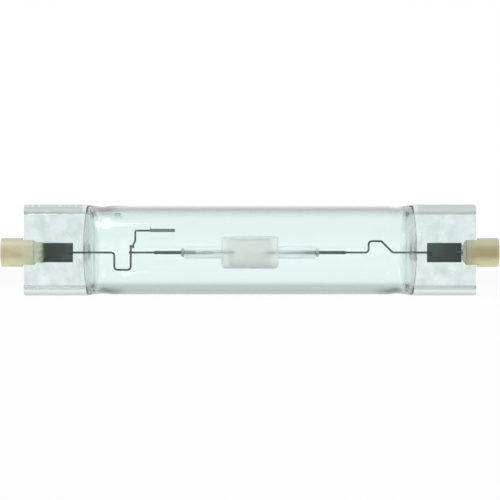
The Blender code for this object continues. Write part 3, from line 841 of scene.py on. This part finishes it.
for side, way in (("left", -1), ("right", 1)):
    for name, material, slot in (
        ("niobium_lead", niobium, "niobium"),
        ("molybdenum_rod", bright_molybdenum, "molybdenum"),
        ("electrode", tungsten, "tungsten"),
    ):
        low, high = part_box(f"{name}_{side}")
        rod = drawn_wire(f"{side}_{name}", straight(low, high), (high.y - low.y) / 2, material)
        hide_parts(f"{name}_{side}")

    low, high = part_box(f"electrode_coil_{side}")
    coil_radius = (high.y - low.y) / 2 - coil_wire_radius
    coil_start, coil_end = low.x + coil_wire_radius, high.x - coil_wire_radius
    coil_path = []
    for i in range(coil_turns * coil_steps + 1):
        angle = 2 * math.pi * i / coil_steps
        x = coil_start + (coil_end - coil_start) * i / (coil_turns * coil_steps)
        y, z = coil_radius * math.sin(angle), coil_radius * math.cos(angle)
        coil_path.append(Vector((x, y, seal_line + z)))
    coil = drawn_wire(f"{side}_electrode_coil", coil_path, coil_wire_radius, tungsten)
    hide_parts(f"electrode_coil_{side}")

    low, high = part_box(f"frit_seal_{side}")
    frit_radius = (high.y - low.y) / 2
    foot, crown = ends_along(f"frit_seal_{side}", way)
    frit_profile = [(foot, frit_bore), (foot, frit_radius * frit_foot_share)]
    for degrees in range(20, 100, 10):
        x = foot + (crown - foot) * math.sin(math.radians(degrees))
        fuller = math.cos(math.radians(degrees - 10)) ** frit_fullness
        frit_profile.append((x, frit_bore + (frit_radius - frit_bore) * fuller))
    frit_profile.append((crown, frit_bore))
    frit = placed(f"frit_ring_{side}", turned(frit_profile), frit_glass)
    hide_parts(f"frit_seal_{side}")


# End caps. Steatite ceramic pressed and fired to a golden cream, with a thin glaze. Each is a barrel
# with a slot that straddles the pinch, and a recess that shields the contact from fingers. The right
# one is darker and more olive, and cement has stained the prongs of both. Light is painted into both:
# lighter at the top and bottom edges and the rim, lighter on the lower half and darker on top.
cap_low, cap_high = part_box("cap_right")
cap_radius = (cap_high.y - cap_low.y) / 2
cap_start = cap_low.x
cap_rim = cap_high.x
cap_edge = 0.0003
contact_low, contact_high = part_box("cap_contact_right")
contact_face = contact_high.x
contact_seat = contact_face - 0.0006
contact_head = contact_high.y
recess_radius = contact_head + 0.0001
recess_edge = cap_edge / 2
shank_bore = 0.00095
slot_half = pinch_thickness / 2 + 0.0004
slot_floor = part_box("cap_cement_right")[1].x + 0.0001
slot_rounding = 0.00012
saw_length = 0.002
saw_half_height = 0.01
# Where painted edge light rises: away from the seal line, up and down, and near the rim.
edge_light_fade = (0.0006, 0.0032)
rim_light_fade = (cap_rim - 0.0006, cap_rim - 0.0001)
lit_lower_half = (seal_line - 0.0032, seal_line - 0.0004)
shaded_upper_half = (seal_line + 0.0004, seal_line + 0.0026)
prong_fade = (cap_start + 0.0008, slot_floor + 0.0006)

steatite, place = new_material("steatite_ceramic")
fired = place.cloud(330, 4.0)
speck = place.cloud(2600, 2.0)
up_down = place.axis("Z")
along = abs(place.axis("X"))
left_to_right = place.axis("X").step(-cap_start, cap_start)
# Painted light: each cap is lighter towards its top and bottom edges and near the rim, mixed into both
# colours below.
painted_edge_light = abs(up_down - seal_line).step(*edge_light_fade).larger(along.step(*rim_light_fade) * 0.6)
cream = fired.step(0.25, 0.75).mix(paint(182, 174, 138), paint(202, 195, 160))
cream = (painted_edge_light * 0.55).mix(cream, paint(218, 214, 190))
olive = fired.mix(paint(148, 142, 97), paint(170, 163, 116))
olive = (painted_edge_light * 0.85).mix(olive, paint(204, 202, 164))
golden = left_to_right.mix(cream, olive)
# Painted light: the lower half of each cap is lighter, as if lit from the floor below.
golden = ((1 - up_down.step(*lit_lower_half)) * 0.75).mix(golden, paint(244, 238, 190))
# Painted shade: the upper half of each cap is darker.
golden = (up_down.step(*shaded_upper_half) * 0.4).mix(golden, paint(178, 174, 150))
cement_stain = left_to_right.mix(paint(186, 196, 172), paint(160, 166, 140))
golden = ((1 - along.step(*prong_fade)) * 0.6).mix(golden, cement_stain)
end_material(place.node("ShaderNodeBsdfPrincipled", {}, {
    "Base Color": (speck.step(0.62, 0.75) * 0.35).mix(golden, paint(150, 134, 96)),
    "Roughness": 0.42 + fired * 0.2,
    "Coat Weight": 0.25,
    "Coat Roughness": 0.18,
    "Normal": (speck * 0.4 + fired * 0.6).bump(0.35, 0.00012),
}))

cap_profile = [
    (contact_seat, recess_radius),
    *arc(cap_rim - recess_edge, recess_radius + recess_edge, recess_edge, 270, 360, 4),
    *arc(cap_rim - cap_edge, cap_radius - cap_edge, cap_edge, 0, 90),
    *arc(cap_start + cap_edge, cap_radius - cap_edge, cap_edge, 90, 180),
    (cap_start, shank_bore),
    (contact_seat, shank_bore),
]
for side, way in (("left", -1), ("right", 1)):
    barrel = placed(f"ceramic_cap_{side}", turned(cap_profile, way), steatite)
    bm = bmesh.new()
    saw_low = Vector((cap_start - saw_length, -slot_half, -saw_half_height))
    saw_high = Vector((slot_floor, slot_half, saw_half_height))
    boxed(bm, saw_low, saw_high)
    bmesh.ops.scale(bm, vec=(way, 1, 1), verts=bm.verts)
    bmesh.ops.recalc_face_normals(bm, faces=bm.faces)
    saw = bpy.data.objects.new("slot_saw", meshed("slot_saw", bm))
    bpy.context.scene.collection.objects.link(saw)
    cut = barrel.modifiers.new("slot", "BOOLEAN")
    cut.object = saw
    bpy.context.view_layer.update()
    graph = bpy.context.evaluated_depsgraph_get()
    sawn = bpy.data.meshes.new_from_object(barrel.evaluated_get(graph))
    barrel.modifiers.clear()
    barrel.data = sawn
    bpy.data.objects.remove(saw)
    sawn.shade_smooth()
    sawn.set_sharp_from_angle(angle=math.radians(35))
    soften(barrel, slot_rounding, 50)
    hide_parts(f"cap_{side}")


# Contacts. Nickel-plated steel buttons turned with a hollow shank. The lead is welded in the shank,
# and the button sits at the bottom of the cap's recess, where the holder's sprung pin meets it.
contact_edge = 0.0002
shank_radius = 0.00085
shank_end = contact_low.x
shank_floor = contact_seat - 0.0001
lead_bore = wire_radius + 0.00005
turning_marks = 60000

nickel, place = new_material("nickel_plate")
from_centre = place.scaled(0, 1, 1).distance((0, 0, seal_line))
rings = from_centre.maths("SINE", from_centre * turning_marks)
tarnish = place.cloud(900, 4.0)
end_material(place.node("ShaderNodeBsdfPrincipled", {}, {
    "Base Color": tarnish.mix(paint(196, 192, 184), paint(222, 219, 212)),
    "Metallic": 1.0,
    "Roughness": 0.18 + tarnish * 0.16,
    "Normal": rings.bump(0.12, 0.00001),
}))

contact_profile = [
    (contact_face, 0.0),
    *arc(contact_face - contact_edge, contact_head - contact_edge, contact_edge, 0, 90),
    (contact_seat + contact_edge, contact_head),
    (contact_seat + contact_edge, shank_radius),
    (shank_end, shank_radius),
    (shank_end, lead_bore),
    (shank_floor, lead_bore),
    (shank_floor, 0.0),
]
for side, way in (("left", -1), ("right", 1)):
    button = placed(f"contact_button_{side}", turned(contact_profile, way), nickel)
    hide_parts(f"cap_contact_{side}")


# Cement. A white refractory paste, brushed into the slot before the cap is pushed on and baked hard.
# It grips the end of the pinch all round, and squeezes out as a bead in front of the prongs. On the
# left the brush also left a thin smear on the glass.
touch = 0.00002
grip = pinch_thickness / 2 + touch
squeezed_height = 0.0006
squeezed_fullness = 1.15
squeezed_lumps = 0.18
squeezed_taper = 0.08
squeezed_wander = 0.0002
squeezed_counts = (12, 60)
sweep_depth = 0.0009
sweep_start = 0.30
sweep_run = 0.25
layer_thickness = 0.00022
smear_reach = 0.0022
smear_overlap = 0.0005
smear_thickness = 0.00004
smear_margin = 0.06
smear_wander = 0.05
smear_counts = (16, 40)
cement_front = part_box("cap_cement_right")[0].x
smear_fade = (cement_front - 0.0017, cement_front + 0.0005)
fade_wander = 0.0016

cement, place = new_material("baked_cement")
paste = place.cloud(1500, 5.0)
pale_paste = paste.mix(paint(190, 197, 174), paint(216, 222, 200))
dark_paste = paste.mix(paint(172, 177, 158), paint(202, 206, 186))
along = abs(place.axis("X")) + (place.cloud(900, 4.0) - 0.5) * fade_wander
end_material(place.node("ShaderNodeBsdfPrincipled", {}, {
    "Base Color": place.axis("X").step(-0.02, 0.02).mix(pale_paste, dark_paste),
    "Roughness": 0.85 + paste * 0.1,
    "Alpha": along.step(*smear_fade),
    "Normal": paste.bump(0.8, 0.0002),
}))


def block(bm, counts, point_at):
    """Adds a closed block of quads. point_at(u, v, w) gives a point for shares of its three sides."""
    columns, rows = counts
    skins = []
    for w in (0, 1):
        skin = {}
        for i in range(columns + 1):
            for j in range(rows + 1):
                skin[i, j] = bm.verts.new(point_at(i / columns, j / rows, w))
        skins.append(skin)
    for skin in skins:
        for i in range(columns):
            for j in range(rows):
                bm.faces.new((skin[i, j], skin[i + 1, j], skin[i + 1, j + 1], skin[i, j + 1]))
    rim = [(i, 0) for i in range(columns)] + [(columns, j) for j in range(rows)]
    rim += [(i, rows) for i in range(columns, 0, -1)] + [(0, j) for j in range(rows, 0, -1)]
    for here, following in zip(rim, rim[1:] + rim[:1]):
        bm.faces.new((skins[0][here], skins[0][following], skins[1][following], skins[1][here]))
    bmesh.ops.recalc_face_normals(bm, faces=bm.faces)


def cemented(side, way):
    """The cement of one cap: on each face of the pinch, and in the slot past the end of the glass."""
    low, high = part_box(f"cap_cement_{side}")
    edge, back = ends_along(f"cap_cement_{side}", way)
    prong_tip = way * cap_start
    glass_end = way * (pinch_end + touch)

    def squeezed(u, v, w):
        """A sloping bead in front of one prong, with an uneven front and a lumpy top."""
        lump = noise.noise(Vector((11 * v, 3 * face, 2 * way)))
        lump += 0.4 * noise.noise(Vector((34 * v, 3 * face, 5 * u + way)))
        off_middle = abs(v - 0.5)
        swept = sweep_depth * ease((off_middle - sweep_start) / sweep_run)
        front = edge + way * (swept + squeezed_wander * (1 + lump))
        rise = squeezed_height * math.sin(0.5 * math.pi * min(squeezed_fullness * u, 1))
        rise *= 1 - squeezed_lumps * (1 - lump)
        rise *= ease((0.5 - off_middle) / squeezed_taper)
        x = front + (prong_tip - front) * u
        return Vector((x, face * (grip + w * max(rise, 0.00001)), low.z + (high.z - low.z) * v))

    def smear(u, v, w):
        """What the brush left on the glass in front of the bead."""
        x = edge + way * (smear_overlap - (smear_reach + smear_overlap) * (1 - u))
        y = face * (grip + 0.00001 + w * smear_thickness)
        narrow = smear_margin + smear_wander * noise.noise(Vector((5 * u, 3 * face, 7 * round(v))))
        return Vector((x, y, low.z + (high.z - low.z) * (narrow + (1 - 2 * narrow) * v)))

    def layer(u, v, w):
        """The layer between one prong and the glass."""
        x = prong_tip + (back - prong_tip) * u
        return Vector((x, face * (0.99 * grip + w * layer_thickness), low.z + (high.z - low.z) * v))

    def filling(u, v, w):
        """The block between the end of the glass and the floor of the slot."""
        x = glass_end + (back - glass_end) * w
        return Vector((x, grip * (2 * u - 1), low.z + (high.z - low.z) * v))

    bm = bmesh.new()
    for face in (-1, 1):
        block(bm, squeezed_counts, squeezed)
        if side == "left":
            block(bm, smear_counts, smear)
        block(bm, (1, 1), layer)
    block(bm, (1, 1), filling)
    return bm


for side, way in (("left", -1), ("right", 1)):
    packing = placed(f"cement_{side}", cemented(side, way), cement)
    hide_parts(f"cap_cement_{side}")


# Stage. A white sweep from the lamp's feet to the horizon, under two broad soft lights, in a room that
# is bright before and behind and dimmer above and at the sides, so that clear glass shows by its edges.
# What the glass picks up of the sweep carries a painted shadow: greyer close to the lamp, and most of
# all under its necks.
floor_size = 6.0
paper_white = (0.85, 0.85, 0.85, 1)
near_glow = 0.86
far_reach = (0.25, 1.2)
shade_depth = 0.45
shade_width = (0.0, 0.025)
pinch_relief = 0.45
pinch_reach = (pinch_start - 0.001, pinch_start + 0.001)
neck_shade_depth = 0.30
neck_shade_width = (0.001, 0.0045)
neck_rise = (neck_x - 0.0066, neck_x - 0.0011)
neck_fall = (neck_x - 0.0004, neck_x + 0.0020)

sweep, place = new_material("white_sweep")
by_camera = place.node("ShaderNodeLightPath", {}, {}, "Is Camera Ray")
by_glass = place.node("ShaderNodeLightPath", {}, {}, "Is Transmission Ray")
by_gloss = place.node("ShaderNodeLightPath", {}, {}, "Is Glossy Ray")
bounced = by_glass.larger(by_gloss)
far = place.distance((0, 0, 0)).step(*far_reach)
glow = bounced.larger(by_camera * (near_glow + (1 - near_glow) * far))
away = abs(place.axis("Y"))
along = abs(place.axis("X"))
under_pinch = along.step(*pinch_reach)
under_neck = along.between(neck_rise, neck_fall)
# Painted shadow under the lamp and its necks, seen only through glass and in reflections.
painted_shadow = shade_depth * (1 - away.step(*shade_width)) * (1 - pinch_relief * under_pinch)
painted_shadow = painted_shadow + neck_shade_depth * under_neck * (1 - away.step(*neck_shade_width))
paper = place.node("ShaderNodeBsdfDiffuse", {}, {"Color": paper_white})
white = place.node("ShaderNodeEmission", {}, {"Color": 1 - bounced * painted_shadow})
end_material(place.node("ShaderNodeMixShader", {}, {0: glow, 1: paper, 2: white}))

floor_mesh = bpy.data.meshes.new("floor")
floor_mesh.materials.append(sweep)
bm = bmesh.new()
bmesh.ops.create_grid(bm, x_segments=1, y_segments=1, size=floor_size / 2)
bm.to_mesh(floor_mesh)
bm.free()
floor = bpy.data.objects.new("floor", floor_mesh)
floor.location = (0, 0, cad_box[0][2])
bpy.context.scene.collection.objects.link(floor)

ceiling_dim = 0.45
ceiling_edge = (math.sin(math.radians(4)), math.sin(math.radians(30)))
side_dim = 0.30
side_edge = (math.sin(math.radians(15)), math.sin(math.radians(50)))
world = bpy.data.worlds.new("studio")
world.use_nodes = True
world.node_tree.nodes.clear()
sky = Field(world.node_tree)
heading = sky.node("ShaderNodeTexCoord", {}, {}, "Generated")
above = ceiling_dim * abs(heading.axis("Z")).step(*ceiling_edge)
beside = side_dim * abs(heading.axis("X")).step(*side_edge)
seen = sky.node("ShaderNodeLightPath", {}, {}, "Is Camera Ray")
backdrop = sky.node("ShaderNodeBackground", {}, {"Color": ((1 - above) * (1 - beside)).larger(seen)})
sky.node("ShaderNodeOutputWorld", {}, {"Surface": backdrop})
bpy.context.scene.world = world

for name, spot, width, watts in (
    ("key", (-0.26, -0.14, 0.59), 0.34, 1.9),
    ("fill", (0.5, -0.5, 0.35), 0.4, 1.6),
):
    softbox = bpy.data.lights.new(name, "AREA")
    softbox.size = width
    softbox.energy = watts
    stand = bpy.data.objects.new(name, softbox)
    stand.location = spot
    stand.rotation_euler = (-Vector(spot)).to_track_quat("-Z", "Y").to_euler()
    bpy.context.scene.collection.objects.link(stand)


# Camera. Level with the lamp and square to it, with a long lens, so that the lamp just fills the
# frame from side to side. Light passes many walls of glass in line, so it may bounce more often.
lens_length = 0.180
sensor_width = 0.036
frame_fill = 0.9935
lamp_length = cad_box[1][0] - cad_box[0][0]
light_bounces = 32

camera = bpy.data.cameras.new("camera")
camera.lens = lens_length * 1000
camera.sensor_width = sensor_width * 1000
camera.clip_start = 0.01
viewer = bpy.data.objects.new("camera", camera)
viewer.location = (0, -lamp_length / frame_fill * lens_length / sensor_width, 0)
viewer.rotation_euler = (math.radians(90), 0, 0)
bpy.context.scene.collection.objects.link(viewer)
bpy.context.scene.camera = viewer
bpy.context.scene.view_settings.view_transform = "Standard"
bpy.context.scene.cycles.max_bounces = light_bounces
bpy.context.scene.cycles.glossy_bounces = light_bounces
bpy.context.scene.cycles.transmission_bounces = light_bounces
